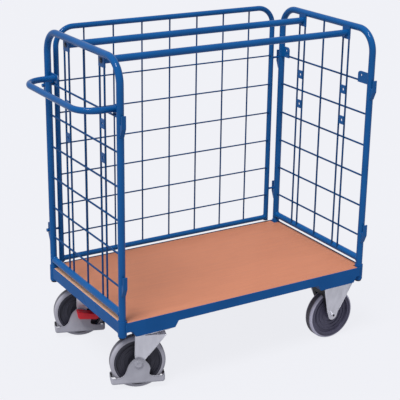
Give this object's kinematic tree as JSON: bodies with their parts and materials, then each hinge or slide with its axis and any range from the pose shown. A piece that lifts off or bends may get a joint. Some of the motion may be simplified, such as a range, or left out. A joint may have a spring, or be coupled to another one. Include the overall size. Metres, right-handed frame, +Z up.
{
  "type": "three-sided platform trolley",
  "caption": "Platform trolley with a board deck, tube and wire walls on three sides, top rails, a push handle, fixed casters at one end and swivel casters with foot guards at the other.",
  "frame": {"origin": "on the floor under the middle of the deck", "axes": "+X along the deck away from the push handle, +Y to the hung back wall, +Z up"},
  "size_m": [1.17, 0.6205, 1.2155],
  "materials": {
    "blue_enamel": "gloss",
    "board": "satin",
    "black_plastic": "matte",
    "zinc_bolts": "satin",
    "zinc_sheet": "satin",
    "guard_grey": "matte",
    "pedal_red": "gloss",
    "tyre_grey": "matte",
    "rim_dark": "satin",
    "bush_steel": "satin"
  },
  "bodies": {
    "chassis": {"corner_sockets": "blue_enamel", "front_rail": "blue_enamel", "rear_rail": "blue_enamel", "left_end_rail": "blue_enamel", "right_end_rail": "blue_enamel", "deck_bearers": "blue_enamel", "left_caster_beam": "blue_enamel", "right_caster_beam": "blue_enamel", "left_hoop": "blue_enamel", "right_hoop": "blue_enamel", "cross_tubes": "blue_enamel", "left_grid": "blue_enamel", "right_grid": "blue_enamel", "rail_plates": "blue_enamel", "hole_plates": "blue_enamel", "eye_lugs": "blue_enamel", "wall_hooks": "blue_enamel", "front_top_rail": "blue_enamel", "rear_top_rail": "blue_enamel", "push_handle": "blue_enamel", "deck_board": "board", "post_caps": "black_plastic", "post_screws": "zinc_bolts", "rail_bolts": "zinc_bolts", "handle_bolts": "zinc_bolts", "caster_bolts": "zinc_bolts", "fixed_axles": "zinc_bolts", "front_fixed_fork": "zinc_sheet", "rear_fixed_fork": "zinc_sheet", "swivel_plates": "zinc_sheet", "swivel_races": "zinc_sheet", "king_pins": "zinc_sheet"},
    "back_wall": {"back_hoop": "blue_enamel", "back_bottom_tube": "blue_enamel", "back_grid": "blue_enamel", "back_pins": "blue_enamel", "back_caps": "black_plastic"},
    "front_swivel": {"front_swivel_fork": "zinc_sheet", "front_foot_guard": "guard_grey", "front_guard_bumpers": "black_plastic", "front_swivel_axle": "zinc_bolts"},
    "front_pedal": {"front_brake_pedal": "pedal_red"},
    "front_left_wheel": {"front_left_tyre": "tyre_grey", "front_left_rim": "rim_dark", "front_left_bush": "bush_steel"},
    "front_right_wheel": {"front_right_tyre": "tyre_grey", "front_right_rim": "rim_dark", "front_right_bush": "bush_steel"},
    "rear_swivel": {"rear_swivel_fork": "zinc_sheet", "rear_foot_guard": "guard_grey", "rear_guard_bumpers": "black_plastic", "rear_swivel_axle": "zinc_bolts"},
    "rear_pedal": {"rear_brake_pedal": "pedal_red"},
    "rear_left_wheel": {"rear_left_tyre": "tyre_grey", "rear_left_rim": "rim_dark", "rear_left_bush": "bush_steel"},
    "rear_right_wheel": {"rear_right_tyre": "tyre_grey", "rear_right_rim": "rim_dark", "rear_right_bush": "bush_steel"}
  },
  "joints": [
    {"name": "back_wall_lift", "type": "slide", "parent": "chassis", "child": "back_wall", "axis": [0, 0, 1], "range_m": [0, 0.06]},
    {"name": "front_swivel_turn", "type": "hinge", "parent": "chassis", "child": "front_swivel", "pos_m": [-0.381, -0.238, 0.214], "axis": [0, 0, 1], "continuous": true},
    {"name": "front_left_wheel_spin", "type": "hinge", "parent": "front_swivel", "child": "front_left_wheel", "pos_m": [-0.42329, -0.22261, 0.1], "axis": [0.342, 0.9397, 0], "continuous": true},
    {"name": "front_pedal_press", "type": "hinge", "parent": "front_swivel", "child": "front_pedal", "pos_m": [-0.42329, -0.22261, 0.1], "axis": [0.342, 0.9397, 0], "range_deg": [0, 20]},
    {"name": "front_right_wheel_spin", "type": "hinge", "parent": "chassis", "child": "front_right_wheel", "pos_m": [0.412, -0.238, 0.1], "axis": [0, 1, 0], "continuous": true},
    {"name": "rear_swivel_turn", "type": "hinge", "parent": "chassis", "child": "rear_swivel", "pos_m": [-0.381, 0.238, 0.214], "axis": [0, 0, 1], "continuous": true},
    {"name": "rear_left_wheel_spin", "type": "hinge", "parent": "rear_swivel", "child": "rear_left_wheel", "pos_m": [-0.42329, 0.25339, 0.1], "axis": [0.342, 0.9397, 0], "continuous": true},
    {"name": "rear_pedal_press", "type": "hinge", "parent": "rear_swivel", "child": "rear_pedal", "pos_m": [-0.42329, 0.25339, 0.1], "axis": [0.342, 0.9397, 0], "range_deg": [0, 20]},
    {"name": "rear_right_wheel_spin", "type": "hinge", "parent": "chassis", "child": "rear_right_wheel", "pos_m": [0.412, 0.238, 0.1], "axis": [0, 1, 0], "continuous": true}
  ]
}
